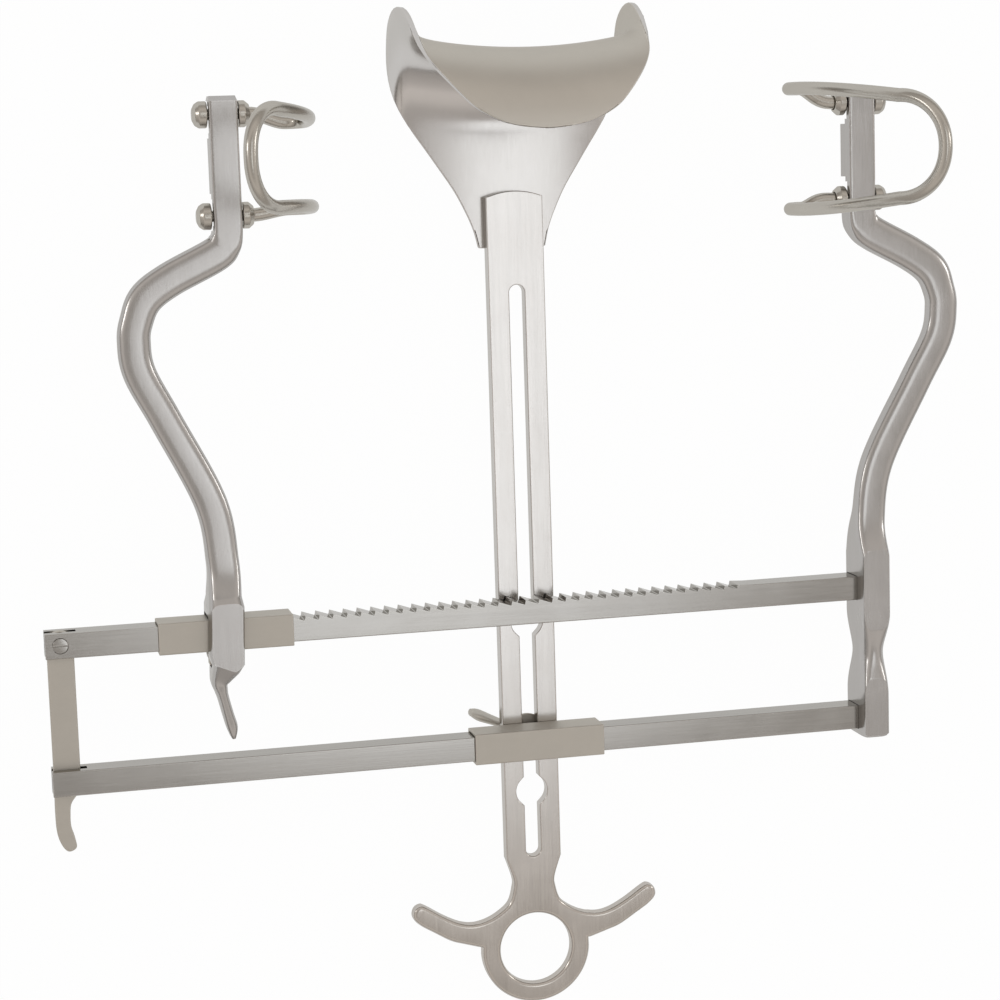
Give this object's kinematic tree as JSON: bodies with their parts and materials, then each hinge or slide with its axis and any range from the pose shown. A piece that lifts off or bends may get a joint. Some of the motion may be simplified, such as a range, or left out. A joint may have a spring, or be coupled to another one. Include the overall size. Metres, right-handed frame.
{
  "type": "abdominal retractor",
  "caption": "Self-retaining abdominal retractor: two-bar ratchet frame, bowed arms with wire side blades, and a saddle centre blade on a slotted shank with a ring handle.",
  "frame": {"origin": "middle of the footprint at the lowest point, with the instrument on its back and its blades up", "axes": "+X along the bars from the gate to the fixed arm, +Y from the ring handle to the blades, +Z the way the blades point"},
  "size_m": [0.3038, 0.3287, 0.0949],
  "materials": {
    "satin_steel": "satin",
    "warm_steel": "satin",
    "bar_steel": "satin"
  },
  "bodies": {
    "base": {"ratchet_bar": "bar_steel", "plain_bar": "bar_steel", "fixed_arm": "satin_steel", "gate_screw": "satin_steel"},
    "gate": {"gate_link": "warm_steel"},
    "slider": {"slider_sleeve": "warm_steel", "arm_pin": "satin_steel"},
    "moving_arm": {"sliding_arm": "satin_steel"},
    "left_blade": {"left_blade_wire": "warm_steel", "left_blade_upper_knob": "warm_steel", "left_blade_lower_knob": "warm_steel", "left_blade_upper_collar": "warm_steel", "left_blade_lower_collar": "warm_steel"},
    "right_blade": {"right_blade_wire": "warm_steel", "right_blade_upper_knob": "warm_steel", "right_blade_lower_knob": "warm_steel", "right_blade_upper_collar": "warm_steel", "right_blade_lower_collar": "warm_steel"},
    "clamp": {"clamp_body": "warm_steel"},
    "wing": {"wing_screw": "warm_steel", "screw_washer": "warm_steel"},
    "centre": {"shank": "satin_steel", "centre_blade": "satin_steel"}
  },
  "joints": [
    {"name": "gate_swing", "type": "hinge", "parent": "base", "child": "gate", "pos_m": [-0.1472, -0.0294, 0.02405], "axis": [0, 0, -1], "range_deg": [0, 110]},
    {"name": "slider_travel", "type": "slide", "parent": "base", "child": "slider", "axis": [1, 0, 0], "range_m": [-0.018, 0.009]},
    {"name": "arm_release", "type": "hinge", "parent": "slider", "child": "moving_arm", "pos_m": [-0.0989, -0.0376, 0.0238], "axis": [0, 0, 1], "range_deg": [0, 6.5]},
    {"name": "left_blade_out", "type": "slide", "parent": "moving_arm", "child": "left_blade", "axis": [0, 0, -1], "range_m": [0, 0.008]},
    {"name": "right_blade_out", "type": "slide", "parent": "base", "child": "right_blade", "axis": [0, 0, -1], "range_m": [0, 0.008]},
    {"name": "clamp_travel", "type": "slide", "parent": "base", "child": "clamp", "axis": [1, 0, 0], "range_m": [-0.016, 0.044]},
    {"name": "wing_turn", "type": "hinge", "parent": "clamp", "child": "wing", "pos_m": [0.0045, -0.0735, 0.0083], "axis": [0, 0, -1], "range_deg": [0, 720]},
    {"name": "shank_travel", "type": "slide", "parent": "clamp", "child": "centre", "axis": [0, 1, 0], "range_m": [-0.13, 0.036]}
  ]
}
